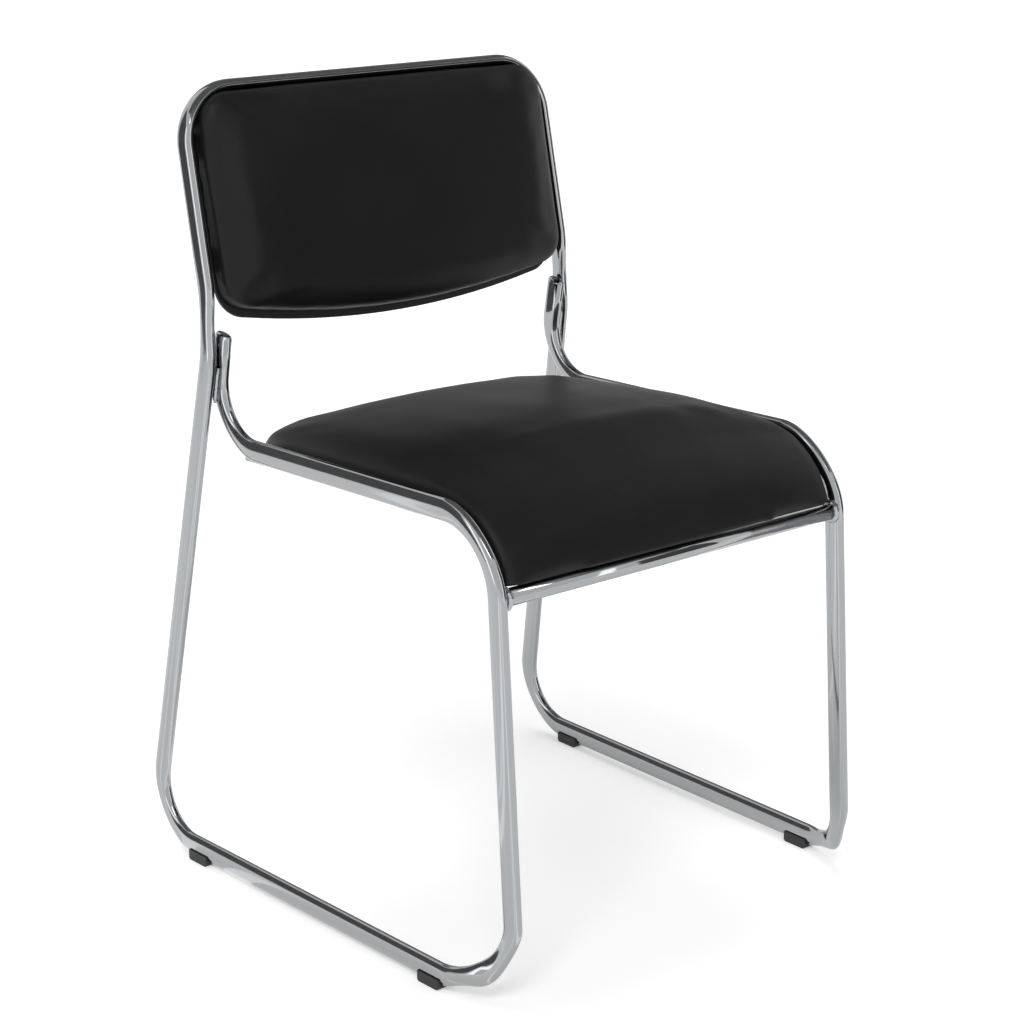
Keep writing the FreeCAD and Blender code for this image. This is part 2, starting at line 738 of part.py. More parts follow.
def back_outline(y, inset, drop=0.0):
    """the pad's outline in the plane at y: bowed bottom, straight sides, rounded corners"""
    half = size("back_half") - inset
    top = size("back_top") - inset
    low = size("back_corner_bottom") + inset - drop
    sag = size("back_sag")
    top_radius = max(6.0, size("back_top_radius") - inset)
    bottom_radius = max(6.0, size("back_bottom_radius") - inset)
    diagonal = 1.0 - sqrt(0.5)
    side_low = Vector(half, y, low + bottom_radius)
    corner_low = Vector(half - bottom_radius * diagonal, y, low + bottom_radius * diagonal - 3.0)
    start_low = Vector(half - bottom_radius, y, low - 4.5)
    middle_low = Vector(0, y, low - sag)

    def left(point):
        return Vector(-point.x, point.y, point.z)

    side_high = Vector(half, y, top - top_radius)
    corner_high = Vector(half - top_radius * diagonal, y, top - top_radius * diagonal)
    start_high = Vector(half - top_radius, y, top)
    curves = [
        Part.Arc(left(start_low), middle_low, start_low),
        Part.Arc(start_low, corner_low, side_low),
        Part.LineSegment(side_low, side_high),
        Part.Arc(side_high, corner_high, start_high),
        Part.LineSegment(start_high, left(start_high)),
        Part.Arc(left(start_high), left(corner_high), left(side_high)),
        Part.LineSegment(left(side_high), left(side_low)),
        Part.Arc(left(side_low), left(corner_low), left(start_low)),
    ]
    return Part.Wire([curve.toShape() for curve in curves])


def back_plate(front_y, thick, inset, drop=0.0):
    return Part.Face(back_outline(front_y, inset, drop)).extrude(Vector(0, thick, 0))


# the pad's swelling: share of the foam's depth, and how far the outline draws in there
BACK_SWELL = ((0.0, 3.0), (0.35, 0.5), (0.6, 2.5), (0.8, 10.0), (0.93, 28.0), (1.0, 62.0))


def back_loft(front_of, grow):
    depth = size("back_foam_thick")
    sections = [back_outline(front_of - share * depth - (grow if share > 0.5 else 0.0), inset - grow)
                for share, inset in BACK_SWELL]
    return Part.makeLoft(sections, True, True)


def back_screw_places():
    """where each back screw enters: origin on the board's padded face, Z towards the front"""
    front = back_board_front()
    for height in ("tab_low", "tab_high"):
        for side in (-1, 1):
            z = size(height)
            x = side * (upright_inner(z) - size("tab_screw_in"))
            local = FreeCAD.Placement(Vector(x, front, z), FreeCAD.Rotation(X_AXIS, 90))
            yield back_placement().multiply(local)


def upright_inner(height):
    """the inner face of the upright at a height in the back's frame"""
    length = hypot(size("crown_y") - size("kink_y"), size("crown_z") - size("kink_z"))
    share = height / length
    return size("kink_x") + (size("crown_x") - size("kink_x")) * share - size("tube_breadth") / 2


def back_board_front():
    return size("shell_rear") - size("shell_thick") - size("back_board_thick")


def make_back():
    lean = back_placement()
    front = back_board_front()
    thick = size("cover_thick")
    foam = back_loft(front, 0.0)
    outer = back_loft(front, thick)
    wrap_inner = back_plate(front, size("back_board_thick"), 3.0)
    wrap_outer = back_plate(front - 0.01, size("back_board_thick"), 2.0)
    cover = outer.cut(foam).fuse(wrap_outer.cut(wrap_inner))
    shell_front = size("shell_rear") - size("shell_thick") + 0.02
    shell = back_plate(shell_front, size("shell_thick"), 0.5, size("shell_lip"))
    board = back_plate(front + 0.02, size("back_board_thick") - 0.04, size("back_board_inset"))
    keep(solid_part("back_foam", foam, lean))
    keep(solid_part("back_cover", cover.removeSplitter(), lean))
    inverse = lean.inverse()
    for place in back_screw_places():
        local = inverse.multiply(place)
        board = board.cut(nut_solid(local, NUT_SLACK))
        hole = Part.makeCylinder(size("screw_hole"), 30, Vector(0, 0, -30))
        hole.Placement = local
        shell = shell.cut(hole)
    keep(solid_part("back_board", board, lean))
    keep(solid_part("back_rear_shell", shell, lean))


def make_back_tabs():
    """small plates on the uprights' inner faces, each drilled for one screw"""
    tabs = []
    for height in ("tab_low", "tab_high"):
        for side in (-1, 1):
            z = size(height)
            edge = upright_inner(z) + 3.0
            reach = size("tab_reach") + 3.0
            low_x = edge - reach if side > 0 else -edge
            plate = Part.makeBox(reach, size("tab_thick"), size("tab_height"),
                                 Vector(low_x, size("shell_rear") + 0.05, z - size("tab_height") / 2))
            inner_edges = [e for e in plate.Edges
                           if abs(abs(e.CenterOfMass.x) - (edge - reach)) < 0.01
                           and abs(e.CenterOfMass.z - z) > size("tab_height") / 2 - 0.01]
            plate = plate.makeChamfer(4.0, inner_edges)
            x = side * (upright_inner(z) - size("tab_screw_in"))
            hole = Part.makeCylinder(size("screw_hole"), 20, Vector(x, -5, z), Y_AXIS)
            plate = plate.cut(hole)
            plate.Placement = back_placement()
            tabs.append(max(plate.cut(TUBE_ENVELOPE).Solids, key=lambda solid: solid.Volume))
    keep(solid_part("back_tabs", Part.makeCompound(tabs)))


def make_back_fasteners():
    places = list(back_screw_places())
    tab_rear = -(size("shell_rear") + size("tab_thick") + 0.07 - back_board_front())
    keep(solid_part("back_nuts", Part.makeCompound([nut_solid(place) for place in places])))
    screws = [screw_solid(place, tab_rear, SCREW_STOP) for place in places]
    keep(solid_part("back_screws", Part.makeCompound(screws)))


make_back()
make_back_tabs()
make_back_fasteners()

# Check and write
doc.recompute()
for item in doc.Objects:
    assert "Invalid" not in item.State and "Error" not in item.State, item.Label
os.makedirs("parts", exist_ok=True)
for part in SUB_PARTS:
    shape = part.Shape
    assert not shape.isNull() and shape.isValid(), part.Label
    shape.exportStep("parts/%s.step" % part.Label)
    print(part.Label, len(shape.Solids), "solids", round(shape.Volume / 1000.0, 2), "cm3")
whole = Part.makeCompound([part.Shape for part in SUB_PARTS])
box = whole.BoundBox
print("box", [round(v, 1) for v in (box.XMin, box.YMin, box.ZMin, box.XMax, box.YMax, box.ZMax)])
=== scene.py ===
from math import atan2, ceil, exp, pi, radians, sin, tan

import bmesh
import bpy
from mathutils import Matrix, Quaternion, Vector


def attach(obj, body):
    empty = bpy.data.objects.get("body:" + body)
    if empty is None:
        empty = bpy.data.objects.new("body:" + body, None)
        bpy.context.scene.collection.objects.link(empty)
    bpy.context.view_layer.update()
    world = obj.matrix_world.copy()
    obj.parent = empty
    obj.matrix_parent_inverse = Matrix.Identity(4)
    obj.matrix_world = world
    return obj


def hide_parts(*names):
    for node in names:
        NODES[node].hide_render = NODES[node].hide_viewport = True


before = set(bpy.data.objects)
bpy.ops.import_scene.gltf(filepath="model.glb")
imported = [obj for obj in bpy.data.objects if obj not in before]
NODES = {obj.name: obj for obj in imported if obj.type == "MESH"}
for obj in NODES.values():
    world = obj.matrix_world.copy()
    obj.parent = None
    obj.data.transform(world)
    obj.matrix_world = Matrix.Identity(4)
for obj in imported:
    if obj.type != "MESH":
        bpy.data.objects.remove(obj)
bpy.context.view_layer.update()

# Sled base visitor chair: chromed oval tube, black artificial leather pads.
# Metres in the part's frame: +Z up, the sitter faces -Y, left is -X.

MM = 0.001
X_AXIS = Vector((1, 0, 0))
Y_AXIS = Vector((0, 1, 0))
MERGE = 0.01 * MM


# Colours and nodes

def colour(code):
    """an sRGB hex colour, turned to linear"""
    parts = [int(code[place:place + 2], 16) / 255 for place in (0, 2, 4)]
    linear = [part / 12.92 if part <= 0.04045 else ((part + 0.055) / 1.055) ** 2.4 for part in parts]
    opaque = 1.0
    return (*linear, opaque)


def add(tree, kind, settings=None, **links):
    """adds a node: settings go to its properties or its sockets, links name a socket and what feeds it"""
    node = tree.nodes.new(kind)
    for name, value in (settings or {}).items():
        if hasattr(node, name):
            setattr(node, name, value)
        else:
            node.inputs[name].default_value = value
    for name, source in links.items():
        tree.links.new(source, node.inputs[name.replace("_", " ")])
    return node


def new_material(name, shader_settings):
    """a material with one Principled shader; gives the material, its tree and the shader"""
    material = bpy.data.materials.new(name)
    material.use_nodes = True
    tree = material.node_tree
    tree.nodes.clear()
    shader = add(tree, "ShaderNodeBsdfPrincipled", shader_settings)
    add(tree, "ShaderNodeOutputMaterial", Surface=shader.outputs["BSDF"])
    return material, tree, shader


def chrome_plating():
    """bright nickel and chrome over polished steel: a clear mirror with a faint haze where hands rub it"""
    material, tree, shader = new_material("chrome_plating", {
        "Metallic": 1.0, "Base Color": colour("A0A2A4")})
    place = add(tree, "ShaderNodeTexCoord")
    # smudges about 60 mm across
    smudge = add(tree, "ShaderNodeTexNoise", {"Scale": 16.0, "Detail": 3.0}, Vector=place.outputs["Object"])
    haze = add(tree, "ShaderNodeMapRange", {"To Min": 0.05, "To Max": 0.13}, Value=smudge.outputs["Fac"])
    tree.links.new(haze.outputs["Result"], shader.inputs["Roughness"])
    # drawing waves left in the tube under the plating, about 12 mm apart
    waves = add(tree, "ShaderNodeTexNoise", {"Scale": 80.0, "Detail": 1.0}, Vector=place.outputs["Object"])
    relief = add(tree, "ShaderNodeBump", {"Strength": 0.12, "Distance": 0.00008},
                 Height=waves.outputs["Fac"])
    tree.links.new(relief.outputs["Normal"], shader.inputs["Normal"])
    return material


def plated_weld():
    """chrome over a rough arc weld: bright but lumpy and a little dull"""
    material, tree, shader = new_material("plated_weld", {
        "Metallic": 1.0, "Roughness": 0.24, "Base Color": colour("A9ABAD")})
    place = add(tree, "ShaderNodeTexCoord")
    # spatter and pits of about 1.2 mm
    pits = add(tree, "ShaderNodeTexNoise", {"Scale": 800.0, "Detail": 2.0}, Vector=place.outputs["Object"])
    relief = add(tree, "ShaderNodeBump", {"Strength": 0.5, "Distance": 0.0004}, Height=pits.outputs["Fac"])
    tree.links.new(relief.outputs["Normal"], shader.inputs["Normal"])
    return material


def zinc_plating():
    """clear passivated zinc on steel: pale grey and satin, with cloudy tones"""
    material, tree, shader = new_material("zinc_plating", {"Metallic": 1.0})
    place = add(tree, "ShaderNodeTexCoord")
    # clouds about 20 mm across
    cloud = add(tree, "ShaderNodeTexNoise", {"Scale": 50.0, "Detail": 4.0}, Vector=place.outputs["Object"])
    tone = add(tree, "ShaderNodeValToRGB", Fac=cloud.outputs["Fac"])
    tone.color_ramp.elements[0].color = colour("9A9CA0")
    tone.color_ramp.elements[0].position = 0.3
    tone.color_ramp.elements[1].color = colour("BDBEBC")
    tone.color_ramp.elements[1].position = 0.7
    tree.links.new(tone.outputs["Color"], shader.inputs["Base Color"])
    satin = add(tree, "ShaderNodeMapRange", {"To Min": 0.3, "To Max": 0.45}, Value=cloud.outputs["Fac"])
    tree.links.new(satin.outputs["Result"], shader.inputs["Roughness"])
    # crystal grain, 0.4 mm in truth, drawn at 1 mm so that it shows
    grain = add(tree, "ShaderNodeTexNoise", {"Scale": 1000.0}, Vector=place.outputs["Object"])
    relief = add(tree, "ShaderNodeBump", {"Strength": 0.15, "Distance": 0.0001}, Height=grain.outputs["Fac"])
    tree.links.new(relief.outputs["Normal"], shader.inputs["Normal"])
    return material


def moulded_polypropylene():
    """black moulded polypropylene: satin, with the fine spark-eroded grain of its mould"""
    material, tree, shader = new_material("moulded_polypropylene", {
        "IOR": 1.49, "Base Color": colour("1C1D1F")})
    place = add(tree, "ShaderNodeTexCoord")
    # mould grain, 0.3 mm in truth, drawn at 0.9 mm so that it shows
    grain = add(tree, "ShaderNodeTexNoise", {"Scale": 1100.0, "Detail": 2.0}, Vector=place.outputs["Object"])
    relief = add(tree, "ShaderNodeBump", {"Strength": 0.3, "Distance": 0.00015}, Height=grain.outputs["Fac"])
    tree.links.new(relief.outputs["Normal"], shader.inputs["Normal"])
    # patches about 80 mm across, polished a little by use
    patch = add(tree, "ShaderNodeTexNoise", {"Scale": 12.0, "Detail": 3.0}, Vector=place.outputs["Object"])
    satin = add(tree, "ShaderNodeMapRange", {"To Min": 0.42, "To Max": 0.56}, Value=patch.outputs["Fac"])
    tree.links.new(satin.outputs["Result"], shader.inputs["Roughness"])
    return material


def leathercloth():
    """black vinyl leathercloth over foam: fine pebbled grain, semi matt, soft sheen at grazing angles"""
    material, tree, shader = new_material("leathercloth", {"IOR": 1.5, "Specular IOR Level": 0.22})
    place = add(tree, "ShaderNodeTexCoord")
    # pebbles 0.8 mm across in truth, drawn at 1.3 mm so that they show
    pebble = add(tree, "ShaderNodeTexVoronoi", {"Scale": 770.0, "feature": "SMOOTH_F1", "Smoothness": 0.5},
                 Vector=place.outputs["Object"])
    # creases between the pebbles run together over about 5 mm
    crease = add(tree, "ShaderNodeTexNoise", {"Scale": 200.0, "Detail": 4.0}, Vector=place.outputs["Object"])
    grain = add(tree, "ShaderNodeMix", {"Factor": 0.35},
                A=pebble.outputs["Distance"], B=crease.outputs["Fac"])
    relief = add(tree, "ShaderNodeBump", {"Strength": 0.35, "Distance": 0.00018},
                 Height=grain.outputs["Result"])
    tree.links.new(relief.outputs["Normal"], shader.inputs["Normal"])
    # wear about 90 mm across
    wear = add(tree, "ShaderNodeTexNoise", {"Scale": 11.0, "Detail": 3.0}, Vector=place.outputs["Object"])
    tone = add(tree, "ShaderNodeValToRGB", Fac=wear.outputs["Fac"])
    tone.color_ramp.elements[0].color = colour("101011")
    tone.color_ramp.elements[0].position = 0.3
    tone.color_ramp.elements[1].color = colour("141415")
    tone.color_ramp.elements[1].position = 0.7
    tree.links.new(tone.outputs["Color"], shader.inputs["Base Color"])
    gloss = add(tree, "ShaderNodeMapRange", {"To Min": 0.42, "To Max": 0.5}, Value=wear.outputs["Fac"])
    tree.links.new(gloss.outputs["Result"], shader.inputs["Roughness"])
    return material


def beech_plywood():
    """raw moulded beech plywood: pale straw wood with thin dark glue lines on its edges"""
    material, tree, shader = new_material("beech_plywood", {"Roughness": 0.62, "IOR": 1.5})
    place = add(tree, "ShaderNodeTexCoord")
    stretch = add(tree, "ShaderNodeMapping", {"Scale": (30.0, 300.0, 300.0)}, Vector=place.outputs["Object"])
    # fibres 3 mm wide and ten times as long
    fibre = add(tree, "ShaderNodeTexNoise", {"Scale": 1.0, "Detail": 5.0}, Vector=stretch.outputs["Vector"])
    tone = add(tree, "ShaderNodeValToRGB", Fac=fibre.outputs["Fac"])
    tone.color_ramp.elements[0].color = colour("A9824F")
    tone.color_ramp.elements[0].position = 0.3
    tone.color_ramp.elements[1].color = colour("D2B184")
    tone.color_ramp.elements[1].position = 0.7
    tree.links.new(tone.outputs["Color"], shader.inputs["Base Color"])
    relief = add(tree, "ShaderNodeBump", {"Strength": 0.2, "Distance": 0.0002}, Height=fibre.outputs["Fac"])
    tree.links.new(relief.outputs["Normal"], shader.inputs["Normal"])
    return material


def spunbond_lining():
    """thin black spunbond sheet: dull, with the small bonded dots that hold its fibres"""
    material, tree, shader = new_material("spunbond_lining", {
        "Roughness": 0.9, "IOR": 1.45, "Specular IOR Level": 0.2, "Sheen Weight": 0.15})
    place = add(tree, "ShaderNodeTexCoord")
    # bond dots 1.6 mm apart, drawn at 2.5 mm so that they show
    dots = add(tree, "ShaderNodeTexVoronoi", {"Scale": 400.0, "Randomness": 0.25},
               Vector=place.outputs["Object"])
    fibre = add(tree, "ShaderNodeTexNoise", {"Scale": 1200.0, "Detail": 3.0}, Vector=place.outputs["Object"])
    mat = add(tree, "ShaderNodeMix", {"Factor": 0.4}, A=dots.outputs["Distance"], B=fibre.outputs["Fac"])
    relief = add(tree, "ShaderNodeBump", {"Strength": 0.5, "Distance": 0.0003}, Height=mat.outputs["Result"])
    tree.links.new(relief.outputs["Normal"], shader.inputs["Normal"])
    tone = add(tree, "ShaderNodeValToRGB", Fac=mat.outputs["Result"])
    tone.color_ramp.elements[0].color = colour("1B1B1C")
    tone.color_ramp.elements[1].color = colour("303032")
    tree.links.new(tone.outputs["Color"], shader.inputs["Base Color"])
    return material


FINISHES = {
    "chrome": chrome_plating(),
    "weld": plated_weld(),
    "plain steel": zinc_plating(),
    "black plastic": moulded_polypropylene(),
    "black leather": leathercloth(),
    "plywood": beech_plywood(),
    "lining": spunbond_lining(),
}


# Pieces

def place_piece(bm, name, slot, *replaced):
    """turns a finished bmesh into a piece of the chair that stands for its CAD nodes"""
    mesh = bpy.data.meshes.new(name)
    bm.to_mesh(mesh)
    bm.free()
    mesh.materials.append(FINISHES[slot])
    mesh.shade_smooth()
    piece = bpy.data.objects.new(name, mesh)
    bpy.context.scene.collection.objects.link(piece)
    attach(piece, "root")
    if replaced:
        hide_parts(*replaced)
    return piece


def bmesh_of(*names):
    """the CAD meshes of these nodes in one bmesh, with their loose triangles joined"""
    bm = bmesh.new()
    for name in names:
        bm.from_mesh(NODES[name].data)
    bmesh.ops.remove_doubles(bm, verts=bm.verts, dist=1e-6)
    return bm


def rounded_copy(name, slot, round_by, segments=2):
    """a hard part with its flat faces made whole and its sharp edges rounded"""
    bm = bmesh_of(name)
    bmesh.ops.dissolve_limit(bm, angle_limit=radians(1.0), verts=bm.verts, edges=bm.edges)
    piece = place_piece(bm, name + "_finished", slot, name)
    edge = piece.modifiers.new("rounded_edges", "BEVEL")
    edge.width = round_by
    edge.segments = segments
    edge.limit_method = "ANGLE"
    edge.angle_limit = radians(40.0)
    flat = piece.modifiers.new("flat_faces", "WEIGHTED_NORMAL")
    flat.keep_sharp = False
    return piece


# The bent tube: the oval is carried along the same corners and bends as in the part's source

TUBE_DEPTH = 22 * MM
TUBE_BREADTH = 11.5 * MM
BEND_SQUASH = 0.2
OVAL_SIDES = 48
# 2 gives an ellipse, more than 2 a fuller oval
OVAL_FULLNESS = 2.1
BEND_STEP = radians(3.0)
BROKEN_EDGE = 0.4 * MM
TUBE_WALL = 1.5 * MM
PLUG_DEPTH = 6 * MM
# the right half's corners, from the free end to the middle of the top bar
END_TOP = Vector((211, 170.5, 534)) * MM
RAIL_REAR = Vector((211, 189.5, 430)) * MM
KNEE = Vector((211, -227.5, 439)) * MM
TOE = Vector((211, -254.5, 43)) * MM
RUNNER_FRONT = Vector((238.5, -212, 14.5)) * MM
HEEL = Vector((249.5, 264.1, 14.5)) * MM
KINK = Vector((222.5, 173, 544)) * MM
CROWN = Vector((220.5, 220, 764.5)) * MM
CORNERS = [END_TOP, RAIL_REAR, KNEE, TOE, RUNNER_FRONT, HEEL, KINK, CROWN]
# the centre line's radius at each corner between the first and the last
BENDS = [56 * MM, 70 * MM, 50 * MM, 62 * MM, 58 * MM, 210 * MM]
CROWN_BEND = 56 * MM


def across(centre, direction, squash=0.0):
    """the matrix that lays an upright oval square across the tube at a point"""
    short_axis = (X_AXIS - direction * X_AXIS.dot(direction)).normalized()
    long_axis = direction.cross(short_axis)
    turn = Matrix((short_axis, long_axis, direction)).transposed().to_4x4()
    return Matrix.Translation(centre) @ turn @ Matrix.Diagonal((1, 1 - squash, 1, 1))


def bend_places(before, corner, after, radius):
    """places round one bend; the outer wall is drawn in most at its middle"""
    inward = (before - corner).normalized()
    outward = (after - corner).normalized()
    half_angle = inward.angle(outward) / 2
    centre = corner + (inward + outward).normalized() * (radius / sin(half_angle))
    start = corner + inward * (radius / tan(half_angle))
    axis = outward.cross(inward).normalized()
    angle = pi - 2 * half_angle
    steps = ceil(angle / BEND_STEP)
    places = []
    for step in range(steps + 1):
        arm = Quaternion(axis, angle * step / steps) @ (start - centre)
        squash = BEND_SQUASH * sin(pi * step / steps) ** 1.5
        middle = centre + arm - arm.normalized() * (squash * TUBE_DEPTH / 2)
        places.append(across(middle, axis.cross(arm).normalized(), squash))
    return places


def tube_places():
    """every place of the oval from the right free end to the middle of the top bar"""
    first = (CORNERS[1] - CORNERS[0]).normalized()
    places = [across(CORNERS[0], first)]
    for index, radius in enumerate(BENDS, start=1):
        places += bend_places(*CORNERS[index - 1:index + 2], radius)
    upright = (CROWN - KINK).normalized()
    inward = Vector((-1, 0, 0))
    turn = upright.angle(inward)
    tangent = CROWN_BEND * tan(turn / 2)
    start = CROWN - upright * tangent
    centre = start + (inward - upright * inward.dot(upright)).normalized() * CROWN_BEND
    axis = upright.cross(inward).normalized()
    foot = across(start, upright)
    steps = ceil(turn / BEND_STEP)
    for step in range(steps + 1):
        swing = Matrix.Rotation(turn * step / steps, 4, axis)
        places.append(Matrix.Translation(centre) @ swing @ Matrix.Translation(-centre) @ foot)
    end = places[-1].translation
    places.append(Matrix.Translation(Vector((-end.x, 0, 0))) @ places[-1])
    return places


def oval_ring(bm, breadth, depth):
    """the tube's section as a closed ring, a little fuller than an ellipse"""
    ring = bmesh.ops.create_circle(bm, segments=OVAL_SIDES, radius=1.0)["verts"]
    for vert in ring:
        reach = abs(vert.co.x) ** OVAL_FULLNESS + abs(vert.co.y) ** OVAL_FULLNESS
        vert.co /= reach ** (1 / OVAL_FULLNESS)
    bmesh.ops.scale(bm, vec=(breadth / 2, depth / 2, 1.0), verts=ring)
    return ring, [edge for edge in bm.edges if all(vert in ring for vert in edge.verts)]


def carry(bm, edges, move):
    """draws a ring of edges out to a new place; gives the new ring's edges"""
    drawn = bmesh.ops.extrude_edge_only(bm, edges=edges)["geom"]
    verts = [item for item in drawn if isinstance(item, bmesh.types.BMVert)]
    bmesh.ops.transform(bm, matrix=move, verts=verts)
    moved = set(verts)
    return [item for item in drawn if isinstance(item, bmesh.types.BMEdge) and moved.issuperset(item.verts)]


def chromed_tube():
    """the whole bent tube: one half is drawn from place to place, then mirrored"""
    bm = bmesh.new()
    places = tube_places()
    ring, edges = oval_ring(bm, TUBE_BREADTH, TUBE_DEPTH)
    bmesh.ops.transform(bm, matrix=places[0], verts=ring)
    lip = list(edges)
    for here, there in zip(places, places[1:]):
        edges = carry(bm, edges, there @ here.inverted())
    # the cut end of the tube, its edge broken and turned in under the plug
    inside = places[0]
    for inset, drop in ((BROKEN_EDGE, -BROKEN_EDGE), (TUBE_WALL, -BROKEN_EDGE), (TUBE_WALL, PLUG_DEPTH)):
        shrunk = Matrix.Diagonal((1 - 2 * inset / TUBE_BREADTH, 1 - 2 * inset / TUBE_DEPTH, 1, 1))
        there = places[0] @ Matrix.Translation((0, 0, drop)) @ shrunk
        lip = carry(bm, lip, there @ inside.inverted())
        inside = there
    bmesh.ops.edgeloop_fill(bm, edges=lip)
    bmesh.ops.mirror(bm, geom=bm.verts[:] + bm.edges[:] + bm.faces[:], axis="X", merge_dist=MERGE)
    bmesh.ops.remove_doubles(bm, verts=bm.verts, dist=MERGE)
    bmesh.ops.recalc_face_normals(bm, faces=bm.faces)
    return place_piece(bm, "chromed_oval_tube", "chrome", "frame_tube")


# Crossbar and welds

BAR_RADIUS = 8 * MM
BAR_CENTRE = Vector((0, -232.5, 372.5)) * MM
BAR_REACH = 210 * MM
LEG_INNER = 211 * MM - TUBE_BREADTH / 2
BEAD_RADIUS = 3.0 * MM
BEAD_SIDES = 10
BAR_BEAD_RING = BAR_RADIUS + 0.4 * MM
BAR_BEAD_SCALES = 11
UPRIGHT_BEAD_FOOT = 470 * MM
UPRIGHT_BEAD_TOP = 505 * MM
UPRIGHT_BEAD_SCALES = 7
UPRIGHT_BEAD_STEPS = 28
# how far these beads lie in front of and behind the two tubes' centres
UPRIGHT_BEAD_OFFSET = 6.5 * MM


def front_bar():
    """a round tube between the front legs, its ends let into them"""
    bm = bmesh.new()
    ring = bmesh.ops.create_circle(bm, segments=OVAL_SIDES, radius=BAR_RADIUS)["verts"]
    side_on = Matrix.Translation(BAR_CENTRE - X_AXIS * BAR_REACH) @ Matrix.Rotation(pi / 2, 4, "Y")
    bmesh.ops.transform(bm, matrix=side_on, verts=ring)
    edges = bm.edges[:]
    first = list(edges)
    edges = carry(bm, edges, Matrix.Translation(X_AXIS * 2 * BAR_REACH))
    bmesh.ops.edgeloop_fill(bm, edges=first)
    bmesh.ops.edgeloop_fill(bm, edges=edges)
    bmesh.ops.recalc_face_normals(bm, faces=bm.faces)
    piece = place_piece(bm, "front_bar", "chrome", "front_crossbar")
    # the two cut ends stay flat
    for polygon in piece.data.polygons:
        polygon.use_smooth = abs(polygon.normal.x) < 0.5
    return piece


def ripple(share, count):
    """the height of a weld's overlapping scales along its run"""
    return 0.5 + 0.5 * abs(sin(pi * count * share))


def bar_welds():
    """fillet welds round both ends of the front bar, rippled as a hand-run bead is"""
    bm = bmesh.new()
    profile = bmesh.ops.create_circle(bm, segments=BEAD_SIDES, radius=BEAD_RADIUS)["verts"]
    stand = Matrix.Rotation(pi / 2, 4, "Y") @ Matrix.Rotation(pi / 2, 4, "X")
    bmesh.ops.transform(bm, matrix=stand, verts=profile)
    bmesh.ops.translate(bm, vec=(0, 0, BAR_BEAD_RING), verts=profile)
    bmesh.ops.spin(bm, geom=bm.verts[:] + bm.edges[:], cent=(0, 0, 0), axis=X_AXIS, dvec=(0, 0, 0),
                   angle=2 * pi, steps=72, use_merge=True, use_normal_flip=False, use_duplicate=False)
    bmesh.ops.remove_doubles(bm, verts=bm.verts, dist=MERGE)
    # each scale swells and thins the bead, and a slower wave makes it uneven
    for vert in bm.verts:
        run = Vector((0, vert.co.y, vert.co.z))
        turn = Vector((0, 1)).angle_signed(Vector((run.y, run.z))) / (2 * pi)
        middle = run.normalized() * BAR_BEAD_RING
        size = 0.75 + 0.3 * ripple(turn, BAR_BEAD_SCALES) + 0.12 * sin(5 * 2 * pi * turn + 1.0)
        vert.co = middle + (vert.co - middle) * size
    bmesh.ops.translate(bm, vec=BAR_CENTRE + X_AXIS * (LEG_INNER - 1.2 * MM), verts=bm.verts)
    bmesh.ops.mirror(bm, geom=bm.verts[:] + bm.edges[:] + bm.faces[:], axis="X", merge_dist=0.0)
    bmesh.ops.recalc_face_normals(bm, faces=bm.faces)
    return place_piece(bm, "bar_fillet_welds", "weld", "crossbar_welds")


def upright_beads():
    """short beads that join each free end to the leg beside it"""
    bm = bmesh.new()
    for offset in (-UPRIGHT_BEAD_OFFSET, UPRIGHT_BEAD_OFFSET):
        ring = bmesh.ops.create_circle(bm, segments=BEAD_SIDES, radius=1.0)["verts"]
        here = Matrix.Identity(4)
        edges = [edge for edge in bm.edges if set(edge.verts) <= set(ring)]
        ends = [list(edges)]
        for step in range(UPRIGHT_BEAD_STEPS + 1):
            share = step / UPRIGHT_BEAD_STEPS
            z = UPRIGHT_BEAD_FOOT + (UPRIGHT_BEAD_TOP - UPRIGHT_BEAD_FOOT) * share
            end_at = END_TOP + (RAIL_REAR - END_TOP) * ((z - END_TOP.z) / (RAIL_REAR.z - END_TOP.z))
            leg_at = KINK + (HEEL - KINK) * ((z - KINK.z) / (HEEL.z - KINK.z))
            # the bead thins over its first and last sixth
            taper = max(0.25, min(1.0, 6 * share, 6 * (1 - share))) ** 0.5
            wide = BEAD_RADIUS * taper * (0.85 + 0.2 * ripple(share, UPRIGHT_BEAD_SCALES))
            middle = (end_at + leg_at) / 2 + Y_AXIS * offset
            there = Matrix.Translation(middle) @ Matrix.Diagonal((wide, wide, 1, 1))
            if step == 0:
                bmesh.ops.transform(bm, matrix=there, verts=ring)
            else:
                edges = carry(bm, edges, there @ here.inverted())
            here = there
        ends.append(list(edges))
        for loop in ends:
            bmesh.ops.edgeloop_fill(bm, edges=loop)
    bmesh.ops.mirror(bm, geom=bm.verts[:] + bm.edges[:] + bm.faces[:], axis="X", merge_dist=0.0)
    bmesh.ops.recalc_face_normals(bm, faces=bm.faces)
    return place_piece(bm, "upright_fillet_welds", "weld", "upright_welds")


# Padded pieces

STUFFING_PRESSURE = 4.0
STRETCH_STIFFNESS = 40.0
BENDING_STIFFNESS = 2.0
STUFFING_FRAMES = 20
MOST_SWELL = 3 * MM


